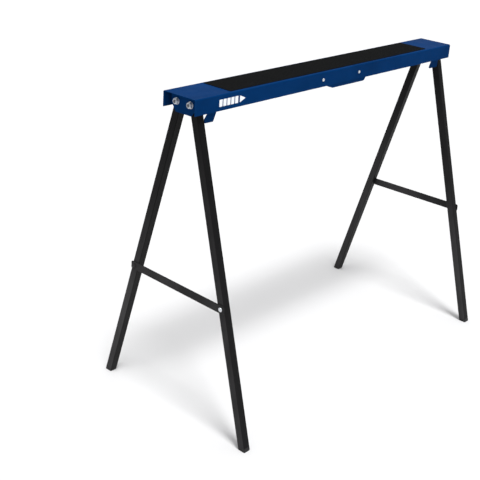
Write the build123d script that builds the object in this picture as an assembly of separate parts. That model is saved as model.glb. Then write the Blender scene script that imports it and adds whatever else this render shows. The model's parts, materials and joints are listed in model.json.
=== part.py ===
from build123d import *
import math
import os

# Folding sawhorse: a sheet-steel beam on two folding A-frames.
# Millimetres. X runs along the beam, Y across it, Z up, and the floor is Z = 0.
# An end assembly is drawn once, at the -X end, and the +X end is the same set
# turned half a turn about Z, with its fold pin further from the beam's end.

# Beam, a channel open below and at both ends
BEAM_LENGTH = 1000.0
BEAM_WIDTH = 100.0
BEAM_TOP = 795.0
BEAM_DEPTH = 36.5
BEAM_SHEET = 1.5
BEAM_BEND_R = 3.0

# Anti-slip pad on the beam
PAD_LENGTH = 772.0
PAD_WIDTH = 86.0
PAD_THICK = 1.5
PAD_CORNER_R = 3.0

# Legs, square tube
TUBE = 20.0
TUBE_WALL = 1.2
TUBE_CORNER_R = 2.0
LEG_X = 471.0
LEG_BOLT_Y = 21.5
LEG_BOLT_Z = 774.3
FOOT_Y = 240.0
LEG_HEAD_ROOM = 12.5
LEAN_DEG = 0.95
LEG_ANGLE = math.degrees(math.atan2(FOOT_Y - LEG_BOLT_Y, LEG_BOLT_Z))
LEG_LENGTH = LEG_BOLT_Z / math.cos(math.radians(LEG_ANGLE))
BORE = TUBE - 2 * TUBE_WALL
BORE_CORNER_R = TUBE_CORNER_R - TUBE_WALL

# Foot plugs, pressed into the tubes and flush with them
PLUG_FLANGE = 6.0
PLUG_DEPTH = 18.0

# Fold pins and their spacer bushes
PIN_Z = 776.0
PIN_D = 8.0
PIN_INSET_LEFT = 40.0
PIN_INSET_RIGHT = 68.0
BUSH_D = 14.0
RUNNING_GAP = 0.05
BODY_GAP = 0.3

# Leg brackets, folded sheet
BRACKET_SHEET = 2.0
BRACKET_WIDTH = 81.0
WEB_SHOULDER_Z = 768.0
WEB_BOTTOM_Z = 749.5
WEB_BOTTOM_HALF = 24.0
PIN_EYE_R = 14.0
FLANGE_NOTCH = (-470.0, 760.5)
SLANTED_TAB = [
    (-455.0, 759.0), (-451.0, 755.0), (-460.0, 743.0), (-458.5, 734.0),
    (-433.0, 734.0), (-429.0, 743.0), (-424.0, 754.0), (-424.0, 762.0),
]
WIDE_TAB = [
    (-466.0, 757.0), (-460.4, 751.0), (-460.0, 735.0), (-423.0, 735.0),
    (-420.0, 739.0), (-428.0, 754.0), (-426.0, 762.0),
]

# Leg bolts, M8, with plain spacers between the legs and the web
SPACER_D = 20.0
SPACER_THICK = 2.0
BOLT_D = 8.0
BOLT_AF = 13.0
BOLT_HEAD = 5.3
WASHER_D = 16.0
WASHER_THICK = 1.4
NUT_HEIGHT = 4.6
NUT_COLLAR = 1.9
NUT_COLLAR_D = 12.2
BOLT_TAIL = 0.6

# Braces, flat bar hooked over a stud
BRACE_RIVET_Z = 331.5
BRACE_STUD_Z = 335.0
BRACE_HEIGHT = 20.0
BRACE_THICK = 2.0
BRACE_END = 12.0
BRACE_CORNER_R = 4.5
STUD_D = 6.0
STUD_HEAD_D = 11.0
STUD_HEAD = 2.2
TAIL_HEAD_D = 9.0
TAIL_HEAD = 1.5
HOOK_CLEAR = 0.4
HOOK_FLARE = 0.8

# Keeper plate at the middle of the beam
KEEPER_SHEET = 1.5
KEEPER_LEFT = -78.0
KEEPER_RIGHT = 112.0
KEEPER_BOTTOM = 749.0
SKIRT_LEFT = -55.0
SKIRT_RIGHT_LOW = 109.0
SKIRT_NICK = 8.0
LIP_LEFT = -22.0
LIP_RIGHT = 103.0
KEEPER_LIP = 9.0
KEEPER_RIVET_X = (-66.6, 77.3)
KEEPER_RIVET_Z = 776.0
RIVET_D = 5.0
RIVET_TAIL_D = 7.5
RIVET_HEAD_D = 8.0
RIVET_HEAD = 2.0
DOME_SHARE = 0.8

# How far every cutting tool passes the surfaces it cuts
HOLE_MARGIN = 1.0

# Worked out from the sizes above
WALL_BOTTOM = BEAM_TOP - BEAM_DEPTH
UNDERSIDE = BEAM_TOP - BEAM_SHEET
WALL_OUT = BEAM_WIDTH / 2
WALL_IN = WALL_OUT - BEAM_SHEET
LEG_IN = LEG_X - TUBE / 2
LEG_OUT = LEG_X + TUBE / 2
WEB_IN = LEG_OUT + BODY_GAP + SPACER_THICK
WEB_OUT = WEB_IN + BRACKET_SHEET
FLANGE_OUT = BRACKET_WIDTH / 2
FLANGE_IN = FLANGE_OUT - BRACKET_SHEET
LEG_SLOPE = math.tan(math.radians(LEG_ANGLE))
RIVET_DROP = (LEG_BOLT_Z - BRACE_RIVET_Z) / math.cos(math.radians(LEG_ANGLE))
STUD_DROP = (LEG_BOLT_Z - BRACE_STUD_Z) / math.cos(math.radians(LEG_ANGLE))
RIVET_Y = LEG_BOLT_Y + (LEG_BOLT_Z - BRACE_RIVET_Z) * LEG_SLOPE
STUD_Y = LEG_BOLT_Y + (LEG_BOLT_Z - BRACE_STUD_Z) * LEG_SLOPE
BRACE_OUT = LEG_OUT + BODY_GAP + BRACE_THICK
HOOK_SPAN = math.hypot(RIVET_Y + STUD_Y, BRACE_STUD_Z - BRACE_RIVET_Z)
BRACE_TILT = math.degrees(math.atan2(BRACE_STUD_Z - BRACE_RIVET_Z, RIVET_Y + STUD_Y))


def slab_x(points, x_low, x_high):
    """Sheet cut to a Y, Z outline, from x_low to x_high."""
    face = Plane.YZ.offset(x_low) * make_face(Polyline(*points, close=True))
    return extrude(face, amount=x_high - x_low)


def slab_y(points, y_low, y_high):
    """Sheet cut to an X, Z outline, from y_low to y_high."""
    face = Plane.XZ.offset(-y_high) * make_face(Polyline(*points, close=True))
    return extrude(face, amount=y_high - y_low)


def rod_x(diameter, x_low, x_high, y=0.0, z=0.0):
    """Round bar along X."""
    length = x_high - x_low
    return Pos((x_low + x_high) / 2, y, z) * Rot(0, 90, 0) * Cylinder(diameter / 2, length)


def rod_y(diameter, y_low, y_high, x=0.0, z=0.0):
    """Round bar along Y."""
    length = y_high - y_low
    return Pos(x, (y_low + y_high) / 2, z) * Rot(90, 0, 0) * Cylinder(diameter / 2, length)


def hex_x(across_flats, x_low, x_high, y, z):
    """Hexagon bar along X, with two flats level."""
    outline = RegularPolygon(across_flats / 2, 6, major_radius=False, rotation=30)
    start = Plane(origin=(x_low, y, z), x_dir=(0, 1, 0), z_dir=(1, 0, 0))
    return extrude(start * outline, amount=x_high - x_low)


def dome_x(diameter, height, x_base, y, z, outward):
    """Low domed rivet head on a face at x_base, rising towards outward (+1 or -1)."""
    x_top = x_base + outward * height
    head = rod_x(diameter, min(x_base, x_top), max(x_base, x_top), y, z)
    top = head.faces().sort_by(Axis.X)[-1 if outward > 0 else 0]
    return fillet(top.edges(), height * DOME_SHARE)


def dome_y(diameter, height, y_base, x, z, outward):
    """Low domed rivet head on a face at y_base, rising towards outward (+1 or -1)."""
    y_top = y_base + outward * height
    head = rod_y(diameter, min(y_base, y_top), max(y_base, y_top), x, z)
    top = head.faces().sort_by(Axis.Y)[-1 if outward > 0 else 0]
    return fillet(top.edges(), height * DOME_SHARE)


def pin_x(inset):
    """Where the fold pin crosses the beam, at the -X end."""
    return -(LEG_X - inset)


def placed(shape, side, inset):
    """Lean an end's moving set outwards about its fold pin, and turn it half a turn for the +X end."""
    leaned = Pos(pin_x(inset), 0, PIN_Z) * Rot(0, LEAN_DEG, 0) * Pos(-pin_x(inset), 0, -PIN_Z) * shape
    return Rot(0, 0, 180) * leaned if side == "right" else leaned


# ---- beam set -------------------------------------------------------------

def beam():
    """Channel with two keeper rivet holes in its front wall."""
    outline = Pos(0, (BEAM_TOP + WALL_BOTTOM) / 2) * Rectangle(BEAM_WIDTH, BEAM_DEPTH)
    outline = fillet(outline.vertices().group_by(Axis.Y)[-1], BEAM_BEND_R)
    hollow_low = WALL_BOTTOM - HOLE_MARGIN
    hollow = Pos(0, (UNDERSIDE + hollow_low) / 2) * Rectangle(2 * WALL_IN, UNDERSIDE - hollow_low)
    hollow = fillet(hollow.vertices().group_by(Axis.Y)[-1], BEAM_BEND_R - BEAM_SHEET)
    profile = Plane.YZ.offset(-BEAM_LENGTH / 2) * (outline - hollow)
    body = extrude(profile, amount=BEAM_LENGTH)
    for x in KEEPER_RIVET_X:
        body -= rod_y(RIVET_D, -BEAM_WIDTH, 0, x, KEEPER_RIVET_Z)
    return body


def top_pad():
    """Anti-slip mat, rounded at its corners."""
    mat = RectangleRounded(PAD_LENGTH, PAD_WIDTH, PAD_CORNER_R)
    return extrude(Plane.XY.offset(BEAM_TOP) * mat, amount=PAD_THICK)


def keeper_plate():
    """Plate inside the front wall, with a skirt below it and an inturned lip."""
    top = UNDERSIDE - BEAM_BEND_R
    skirt_top = WALL_BOTTOM + HOLE_MARGIN
    outline = [
        (KEEPER_LEFT, top), (KEEPER_LEFT, skirt_top), (SKIRT_LEFT, skirt_top), (LIP_LEFT, KEEPER_BOTTOM),
        (LIP_RIGHT, KEEPER_BOTTOM), (SKIRT_RIGHT_LOW, KEEPER_BOTTOM + SKIRT_NICK), (KEEPER_RIGHT, skirt_top),
        (KEEPER_RIGHT, top),
    ]
    body = slab_y(outline, -WALL_IN, -WALL_IN + KEEPER_SHEET)
    lip_y = -WALL_IN + KEEPER_LIP / 2
    lip = Box(LIP_RIGHT - LIP_LEFT, KEEPER_LIP, KEEPER_SHEET)
    body += Pos((LIP_LEFT + LIP_RIGHT) / 2, lip_y, KEEPER_BOTTOM + KEEPER_SHEET / 2) * lip
    for x in KEEPER_RIVET_X:
        body -= rod_y(RIVET_D, -BEAM_WIDTH, 0, x, KEEPER_RIVET_Z)
    return body


def keeper_rivets():
    """Two rivets through the front wall and the keeper plate."""
    inner = -WALL_IN + KEEPER_SHEET
    rivets = []
    for x in KEEPER_RIVET_X:
        shank = rod_y(RIVET_D, -WALL_OUT, inner, x, KEEPER_RIVET_Z)
        outer_head = dome_y(RIVET_HEAD_D, RIVET_HEAD, -WALL_OUT, x, KEEPER_RIVET_Z, -1)
        tail = dome_y(RIVET_TAIL_D, TAIL_HEAD, inner, x, KEEPER_RIVET_Z, 1)
        rivets.append(shank + outer_head + tail)
    return Compound(rivets)


def pivot_pin(x):
    """Fold pin across the beam, welded to the inside of both walls."""
    return rod_y(PIN_D, -WALL_IN, WALL_IN, x, PIN_Z)


def pivot_bushes(x):
    """Two spacers that hold the bracket midway between the walls."""
    bushes = []
    for side in (-1, 1):
        near = side * (FLANGE_OUT + BODY_GAP)
        far = side * WALL_IN
        low, high = min(near, far), max(near, far)
        bushes.append(rod_y(BUSH_D, low, high, x, PIN_Z) - rod_y(PIN_D, low, high, x, PIN_Z))
    return Compound(bushes)


# ---- end set, drawn at the -X end ------------------------------------------

def bracket_top(inset):
    """Highest level of the bracket, just under the beam's underside once leaned."""
    reach = WEB_OUT + pin_x(inset)
    return UNDERSIDE - BODY_GAP - reach * math.sin(math.radians(LEAN_DEG))


def bracket_web(inset):
    """End plate that the legs are bolted to."""
    top = bracket_top(inset)
    outline = [
        (-FLANGE_OUT, top), (FLANGE_OUT, top), (FLANGE_OUT, WEB_SHOULDER_Z), (WEB_BOTTOM_HALF, WEB_BOTTOM_Z),
        (-WEB_BOTTOM_HALF, WEB_BOTTOM_Z), (-FLANGE_OUT, WEB_SHOULDER_Z),
    ]
    return slab_x(outline, -WEB_OUT, -WEB_IN)


def flange_outline(tab, inset):
    """X, Z outline of a side flange: web edge, its tab below the beam, then back along the top."""
    web_low = [(-WEB_OUT, bracket_top(inset)), (-WEB_OUT, WEB_SHOULDER_Z), FLANGE_NOTCH]
    eye_low = [(pin_x(inset), PIN_Z - PIN_EYE_R)]
    eye_high = [(pin_x(inset), bracket_top(inset))]
    return web_low + tab + eye_low + eye_high


def bracket(inset):
    """Leg bracket: web, two flanges with different tabs, eyes round the fold pin."""
    body = bracket_web(inset)
    for side, tab in ((-1, SLANTED_TAB), (1, WIDE_TAB)):
        low = min(side * FLANGE_OUT, side * FLANGE_IN)
        flange = slab_y(flange_outline(tab, inset), low, low + BRACKET_SHEET)
        flange += rod_y(2 * PIN_EYE_R, low, low + BRACKET_SHEET, pin_x(inset), PIN_Z)
        body += flange
        past = low + BRACKET_SHEET + HOLE_MARGIN
        body -= rod_y(PIN_D + 2 * RUNNING_GAP, low - HOLE_MARGIN, past, pin_x(inset), PIN_Z)
        body -= rod_x(BOLT_D, -WEB_OUT - HOLE_MARGIN, -WEB_IN + HOLE_MARGIN, side * LEG_BOLT_Y, LEG_BOLT_Z)
    return body


def leg_bolts():
    """Two bolts, heads inside the leg pair, tails outwards."""
    tail = -(WEB_OUT + WASHER_THICK + NUT_HEIGHT + NUT_COLLAR + BOLT_TAIL)
    head_face = -(LEG_IN - BODY_GAP)
    bolts = []
    for y in (-LEG_BOLT_Y, LEG_BOLT_Y):
        shank = rod_x(BOLT_D, tail, head_face, y, LEG_BOLT_Z)
        head = hex_x(BOLT_AF, head_face, head_face + BOLT_HEAD, y, LEG_BOLT_Z)
        bolts.append(shank + head)
    return Compound(bolts)


def bolt_rings(diameter, x_low, x_high):
    """A ring on each leg bolt, from x_low to x_high."""
    rings = []
    for y in (-LEG_BOLT_Y, LEG_BOLT_Y):
        bore = rod_x(BOLT_D + 2 * RUNNING_GAP, x_low - HOLE_MARGIN, x_high + HOLE_MARGIN, y, LEG_BOLT_Z)
        rings.append(rod_x(diameter, x_low, x_high, y, LEG_BOLT_Z) - bore)
    return Compound(rings)


def leg_washers():
    """Washers under the lock nuts."""
    return bolt_rings(WASHER_D, -WEB_OUT - WASHER_THICK, -WEB_OUT)


def leg_spacers():
    """Plain spacers between the legs and the web."""
    return bolt_rings(SPACER_D, -WEB_IN, -WEB_IN + SPACER_THICK)


def lock_nuts():
    """Lock nuts: a hexagon with a rounded collar."""
    base = -(WEB_OUT + WASHER_THICK)
    nuts = []
    for y in (-LEG_BOLT_Y, LEG_BOLT_Y):
        nut = hex_x(BOLT_AF, base - NUT_HEIGHT, base, y, LEG_BOLT_Z)
        nut += dome_x(NUT_COLLAR_D, NUT_COLLAR, base - NUT_HEIGHT, y, LEG_BOLT_Z, -1)
        nuts.append(nut - rod_x(BOLT_D, base - 2 * NUT_HEIGHT, base + HOLE_MARGIN, y, LEG_BOLT_Z))
    return Compound(nuts)


def tube_solid(size, radius, high, low):
    """Upright square bar about Z, from high down to low."""
    return extrude(Plane.XY.offset(low) * RectangleRounded(size, size, radius), amount=high - low)


def at_leg(shape, side):
    """Put a shape drawn about the bolt at Z = 0 onto a splayed leg; side is -1 for -Y."""
    return Pos(-LEG_X, side * LEG_BOLT_Y, LEG_BOLT_Z) * Rot(side * LEG_ANGLE, 0, 0) * shape


def stud_drop(side):
    """Distance down a leg from its bolt to the brace's rivet (-1) or hook stud (+1)."""
    return RIVET_DROP if side < 0 else STUD_DROP


def leg(side):
    """Square tube with its bolt hole and a hole for the brace's rivet or stud."""
    bottom = -(LEG_LENGTH - PLUG_FLANGE)
    tube = tube_solid(TUBE, TUBE_CORNER_R, LEG_HEAD_ROOM, bottom)
    tube -= tube_solid(BORE, BORE_CORNER_R, LEG_HEAD_ROOM, bottom)
    tube -= rod_x(BOLT_D + 2 * RUNNING_GAP, -TUBE, TUBE)
    tube -= rod_x(STUD_D, -TUBE, 0, 0, -stud_drop(side))
    return at_leg(tube, side)


def foot_plug(side):
    """Plastic plug in the tube's end, with a flange as wide as the tube below it."""
    tube_end = -(LEG_LENGTH - PLUG_FLANGE)
    plug = tube_solid(TUBE, TUBE_CORNER_R, tube_end, -(LEG_LENGTH + TUBE))
    plug += tube_solid(BORE, BORE_CORNER_R, tube_end + PLUG_DEPTH, tube_end)
    return at_leg(plug, side)


def level_sole(shape):
    """Cut a placed foot flat at the floor."""
    below = Box(2 * BEAM_LENGTH, 2 * BEAM_LENGTH, BEAM_WIDTH)
    return shape - Pos(0, 0, -BEAM_WIDTH / 2) * below


def headed_stud(side):
    """Stud or rivet through a leg's outer face, headed over the brace and inside the tube."""
    face = -TUBE / 2
    head_base = face - (BRACE_OUT - LEG_OUT) - BODY_GAP
    tail_base = face + TUBE_WALL
    drop = -stud_drop(side)
    stud = rod_x(STUD_D, head_base, tail_base, 0, drop)
    stud += dome_x(STUD_HEAD_D, STUD_HEAD, head_base, 0, drop, -1)
    stud += dome_x(TAIL_HEAD_D, TAIL_HEAD, tail_base, 0, drop, 1)
    return at_leg(stud, side)


def hook_slot():
    """Slot that drops over the stud, flared below towards the rivet."""
    r = STUD_D / 2 + HOOK_CLEAR
    depth = BRACE_HEIGHT / 2 + HOLE_MARGIN
    far, near = HOOK_SPAN + r, HOOK_SPAN - r
    mouth = [(far, 0), (far, -depth), (near - HOOK_FLARE * depth, -depth), (near, 0)]
    slot = slab_x(mouth, -HOLE_MARGIN, BRACE_THICK + HOLE_MARGIN)
    return slot + rod_x(2 * r, -HOLE_MARGIN, BRACE_THICK + HOLE_MARGIN, HOOK_SPAN, 0)


def brace():
    """Flat bar from the rivet on one leg up a little to the stud on the other."""
    length = HOOK_SPAN + 2 * BRACE_END
    bar = RectangleRounded(length, BRACE_HEIGHT, BRACE_CORNER_R)
    middle = Plane(origin=(0, HOOK_SPAN / 2, 0), x_dir=(0, 1, 0), z_dir=(1, 0, 0))
    body = extrude(middle * bar, amount=BRACE_THICK)
    body -= rod_x(STUD_D + 2 * RUNNING_GAP, -HOLE_MARGIN, BRACE_THICK + HOLE_MARGIN)
    body -= hook_slot()
    return Pos(-BRACE_OUT, -RIVET_Y, BRACE_RIVET_Z) * Rot(BRACE_TILT, 0, 0) * body


def end_nodes(side, inset):
    """Every node of one end, in place. The rivet leg is in front at -X and behind at +X."""
    rivet_leg, stud_leg = ("front", "back") if side == "left" else ("back", "front")
    nodes = {
        f"bracket_{side}": bracket(inset),
        f"leg_bolts_{side}": leg_bolts(),
        f"leg_washers_{side}": leg_washers(),
        f"leg_spacers_{side}": leg_spacers(),
        f"lock_nuts_{side}": lock_nuts(),
        f"leg_{rivet_leg}_{side}": leg(-1),
        f"leg_{stud_leg}_{side}": leg(1),
        f"brace_rivet_{side}": headed_stud(-1),
        f"hook_stud_{side}": headed_stud(1),
        f"brace_{side}": brace(),
    }
    nodes = {name: placed(shape, side, inset) for name, shape in nodes.items()}
    for where, y_side in ((rivet_leg, -1), (stud_leg, 1)):
        nodes[f"foot_{where}_{side}"] = level_sole(placed(foot_plug(y_side), side, inset))
    return nodes


def all_nodes():
    """Every node by name."""
    left_pin = pin_x(PIN_INSET_LEFT)
    right_pin = -pin_x(PIN_INSET_RIGHT)
    nodes = {
        "beam": beam(),
        "top_pad": top_pad(),
        "keeper_plate": keeper_plate(),
        "keeper_rivets": keeper_rivets(),
        "pivot_pin_left": pivot_pin(left_pin),
        "pivot_pin_right": pivot_pin(right_pin),
        "pivot_bushes_left": pivot_bushes(left_pin),
        "pivot_bushes_right": pivot_bushes(right_pin),
    }
    nodes.update(end_nodes("left", PIN_INSET_LEFT))
    nodes.update(end_nodes("right", PIN_INSET_RIGHT))
    return nodes


os.makedirs("parts", exist_ok=True)
for node_name, node_shape in all_nodes().items():
    export_step(node_shape, f"parts/{node_name}.step")
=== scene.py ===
"""Looks of a folding trestle sawhorse: a sheet-steel beam with a grip pad on two folding A-frames."""

import json
import logging
import math
from collections.abc import Callable, Iterable, Sequence
from dataclasses import dataclass, field
from enum import Enum

import bmesh
import bpy
from mathutils import Matrix, Vector


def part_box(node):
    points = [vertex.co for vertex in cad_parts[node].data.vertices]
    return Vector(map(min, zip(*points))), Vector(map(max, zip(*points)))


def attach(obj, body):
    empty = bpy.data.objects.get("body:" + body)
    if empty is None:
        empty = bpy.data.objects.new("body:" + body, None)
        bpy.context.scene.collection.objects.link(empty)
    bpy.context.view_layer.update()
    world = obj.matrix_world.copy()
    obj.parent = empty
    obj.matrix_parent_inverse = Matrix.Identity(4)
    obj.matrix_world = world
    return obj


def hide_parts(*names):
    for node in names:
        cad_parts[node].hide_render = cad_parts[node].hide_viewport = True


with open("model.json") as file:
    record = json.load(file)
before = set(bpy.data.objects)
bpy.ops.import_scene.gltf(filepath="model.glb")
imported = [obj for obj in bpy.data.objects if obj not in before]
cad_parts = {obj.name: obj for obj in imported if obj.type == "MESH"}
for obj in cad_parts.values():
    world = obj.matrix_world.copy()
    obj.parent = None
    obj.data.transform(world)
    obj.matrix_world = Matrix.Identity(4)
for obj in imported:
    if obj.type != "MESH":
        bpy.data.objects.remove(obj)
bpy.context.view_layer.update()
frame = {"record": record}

LOG = logging.getLogger("sawhorse")
RECORD = frame["record"]
JOINTS = {joint["name"]: joint for joint in RECORD["behaviour"]["joints"]}
FULL_TURN = 2 * math.pi
QUARTER = math.pi / 2
SMOOTH_ANGLE = math.radians(34)
BEND_PARTS = 6

Point2 = tuple[float, float]
Point3 = tuple[float, float, float]
Loop = list[Point2]
Colour = tuple[float, float, float, float]
Mesh = bmesh.types.BMesh
Socket = bpy.types.NodeSocket


class Slot(Enum):
    """Material slots of the record, each kept beside the finish that stands for it."""

    BLUE_COAT = "blue_coat"
    GRIP_PAD = "grip_pad"
    BLACK_COAT = "black_coat"
    FOOT_PLASTIC = "foot_plastic"
    ZINC = "zinc"


class Side(Enum):
    """The two ends of the beam."""

    LEFT = "left"
    RIGHT = "right"


class Leg(Enum):
    """The two legs of an A-frame, by what the brace does at them. The value is the leg's side as drawn."""

    RIVETED = -1
    HOOKED = 1


# ---------------------------------------------------------------- finishes


class Graph:
    """The node graph of one material, with short calls for the nodes that the finishes share."""

    def __init__(self, name: str) -> None:
        """Start a material.

        Args:
            name: the material's name.
        """
        self.material = bpy.data.materials.new(name)
        self.material.use_nodes = True
        self.nodes = self.material.node_tree.nodes
        self.shader = self.nodes["Principled BSDF"]
        self.place = self.add("ShaderNodeTexCoord").outputs["Object"]

    def add(self, kind: str, **settings: object) -> bpy.types.Node:
        """Add a node.

        Args:
            kind: the node's type name.
            **settings: attributes set on the node.

        Returns:
            The new node.
        """
        node = self.nodes.new(kind)
        for name, value in settings.items():
            setattr(node, name, value)
        return node

    def feed(self, value: object, socket: Socket) -> None:
        """Link an output to a socket, or set the socket's own value.

        Args:
            value: an output socket, or a number or colour.
            socket: the socket to fill.
        """
        if isinstance(value, Socket):
            self.material.node_tree.links.new(value, socket)
        else:
            socket.default_value = value

    def stretched(self, scale: Point3) -> Socket:
        """Object coordinates stretched along the axes.

        Args:
            scale: the factor along each axis.

        Returns:
            The stretched coordinates.
        """
        mapping = self.add("ShaderNodeMapping")
        self.feed(self.place, mapping.inputs["Vector"])
        mapping.inputs["Scale"].default_value = scale
        return mapping.outputs["Vector"]

    def noise(self, scale: float, detail: float = 2.0, rough: float = 0.5, at: object = None) -> Socket:
        """Cloudy noise, 0 to 1.

        Args:
            scale: cells per metre.
            detail: layers of finer noise.
            rough: how strong the finer layers are.
            at: coordinates, or None for the object's own.

        Returns:
            The noise value.
        """
        node = self.add("ShaderNodeTexNoise")
        self.feed(at if at is not None else self.place, node.inputs["Vector"])
        node.inputs["Scale"].default_value = scale
        node.inputs["Detail"].default_value = detail
        node.inputs["Roughness"].default_value = rough
        return node.outputs["Fac"]

    def cells(self, scale: float, output: str = "Distance") -> Socket:
        """Cell noise.

        Args:
            scale: cells per metre.
            output: "Distance" from the cell's middle, or "Color" for a random colour for each cell.

        Returns:
            The chosen output.
        """
        node = self.add("ShaderNodeTexVoronoi")
        self.feed(self.place, node.inputs["Vector"])
        node.inputs["Scale"].default_value = scale
        return node.outputs[output]

    def ranged(self, value: object, low: float, high: float, to_low: float, to_high: float) -> Socket:
        """Map a range of values to another, clamped.

        Args:
            value: the output to map.
            low: value that becomes to_low.
            high: value that becomes to_high.
            to_low: result at low.
            to_high: result at high.

        Returns:
            The mapped value.
        """
        node = self.add("ShaderNodeMapRange")
        self.feed(value, node.inputs["Value"])
        for name, number in (("From Min", low), ("From Max", high), ("To Min", to_low), ("To Max", to_high)):
            node.inputs[name].default_value = number
        return node.outputs["Result"]

    def maths(self, operation: str, first: object, second: object) -> Socket:
        """Combine two numbers.

        Args:
            operation: the Math node's operation, such as "MULTIPLY".
            first: first number or output.
            second: second number or output.

        Returns:
            The result.
        """
        node = self.add("ShaderNodeMath", operation=operation)
        self.feed(first, node.inputs[0])
        self.feed(second, node.inputs[1])
        return node.outputs["Value"]

    def mixed(self, share: object, first: object, second: object) -> Socket:
        """Mix two colours.

        Args:
            share: how much of the second colour, 0 to 1.
            first: first colour.
            second: second colour.

        Returns:
            The mixed colour.
        """
        node = self.add("ShaderNodeMix", data_type="RGBA")
        self.feed(share, node.inputs["Factor"])
        self.feed(first, node.inputs["A"])
        self.feed(second, node.inputs["B"])
        return node.outputs["Result"]

    def edges(self, radius: float, breakup: float) -> Socket:
        """Mask of the sharp edges, broken up by noise.

        Args:
            radius: how far from an edge the mask reaches, in metres.
            breakup: how patchy it is, 0 to 1.

        Returns:
            The mask, 0 on flat faces and up to 1 on edges.
        """
        rounded = self.add("ShaderNodeBevel", samples=6)
        rounded.inputs["Radius"].default_value = radius
        flat = self.add("ShaderNodeNewGeometry").outputs["Normal"]
        turn = self.add("ShaderNodeVectorMath", operation="DOT_PRODUCT")
        self.feed(rounded.outputs["Normal"], turn.inputs[0])
        self.feed(flat, turn.inputs[1])
        mask = self.ranged(turn.outputs["Value"], 0.995, 0.86, 0.0, 1.0)
        patchy = self.ranged(self.noise(95.0, 4.0, 0.65), 0.38, 0.62, 1.0 - breakup, 1.0)
        return self.maths("MULTIPLY", mask, patchy)

    def bumps(self, layers: Sequence[tuple[object, float, float]]) -> None:
        """Stack bump layers under the shader's normal.

        Args:
            layers: each layer's height output, its strength, and the height in metres that 1 stands for.
        """
        normal: object = None
        for height, strength, distance in layers:
            node = self.add("ShaderNodeBump")
            node.inputs["Strength"].default_value = strength
            node.inputs["Distance"].default_value = distance
            self.feed(height, node.inputs["Height"])
            if normal is not None:
                self.feed(normal, node.inputs["Normal"])
            normal = node.outputs["Normal"]
        self.feed(normal, self.shader.inputs["Normal"])

    def finish(self, colour: object, rough: object, **fixed: float) -> bpy.types.Material:
        """Fill the shader.

        Args:
            colour: base colour.
            rough: roughness.
            **fixed: other shader inputs by name with spaces as underscores, each one number all over.

        Returns:
            The finished material.
        """
        self.feed(colour, self.shader.inputs["Base Color"])
        self.feed(rough, self.shader.inputs["Roughness"])
        for name, value in fixed.items():
            self.shader.inputs[name.replace("_", " ")].default_value = value
        return self.material


def shade_of(colour: Colour, factor: float) -> Colour:
    """The colour made lighter or darker by a factor."""
    return (colour[0] * factor, colour[1] * factor, colour[2] * factor, 1.0)


@dataclass(frozen=True)
class PowderCoat:
    """Baked powder coat: fine orange peel, thinner and paler along the edges."""

    name: str
    colour: Colour
    edge_colour: Colour
    roughness: float = 0.42
    gloss_level: float = 0.006
    peel: float = 0.28
    wear: float = 0.7
    # The lighter grey and the height where it starts: partly dust, partly painted side light on the faces
    # turned along the beam.
    dust_and_side_light: Colour | None = None
    dust_and_side_light_top: float = 0.70

    def material(self) -> bpy.types.Material:
        """Build the coat's material.

        Returns:
            The material.
        """
        g = Graph(self.name)
        cloud = g.ranged(g.noise(9.0, 5.0, 0.6), 0.3, 0.7, 0.0, 1.0)
        toned = g.mixed(cloud, shade_of(self.colour, 0.84), shade_of(self.colour, 1.16))
        specks = g.ranged(g.noise(1400.0, 2.0, 0.7), 0.62, 0.74, 0.0, 0.22)
        speckled = g.mixed(specks, toned, self.edge_colour)
        # Lighter grey, partly dust, partly painted side light on the faces turned along the beam, strongest
        # low down.
        if self.dust_and_side_light is not None:
            speckled = g.mixed(self.dust_and_side_light_share(g), speckled, self.dust_and_side_light)
        worn = g.maths("MULTIPLY", g.edges(0.0011, 0.75), self.wear)
        colour = g.mixed(worn, speckled, self.edge_colour)
        rubbed = g.ranged(g.noise(26.0, 6.0, 0.7), 0.35, 0.7, self.roughness - 0.05, self.roughness + 0.08)
        scratches = g.noise(60.0, 3.0, 0.6, g.stretched((0.6, 9.0, 9.0)))
        rough = g.maths("ADD", rubbed, g.ranged(scratches, 0.62, 0.75, 0.0, 0.1))
        peel = g.noise(620.0, 1.0, 0.4)
        waves = g.noise(110.0, 1.0, 0.4)
        g.bumps([(waves, 0.16, 0.0006), (peel, self.peel, 0.00035), (specks, 0.15, 0.0001)])
        return g.finish(colour, rough, Specular_IOR_Level=self.gloss_level)

    def dust_and_side_light_share(self, g: Graph) -> Socket:
        """Share of the lighter grey, partly floor dust and scuffs, partly painted side light: long patches,
        strongest low down and on faces turned along the beam.

        Args:
            g: the coat's graph.

        Returns:
            The share, 0 to 1.
        """
        split = g.add("ShaderNodeSeparateXYZ")
        g.feed(g.place, split.inputs["Vector"])
        low = g.ranged(split.outputs["Z"], self.dust_and_side_light_top, 0.16, 0.0, 1.0)
        patches = g.ranged(g.noise(7.0, 5.0, 0.6, g.stretched((1.0, 1.0, 0.4))), 0.36, 0.60, 0.35, 1.0)
        faces = g.add("ShaderNodeSeparateXYZ")
        g.feed(g.place.node.outputs["Normal"], faces.inputs["Vector"])
        # Painted side light: faces turned along the beam take most of the lighter grey.
        side_lit_faces = g.ranged(g.maths("ABSOLUTE", faces.outputs["X"], 0.0), 0.5, 0.95, 0.12, 1.0)
        return g.maths("MULTIPLY", g.maths("MULTIPLY", low, patches), side_lit_faces)


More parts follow.
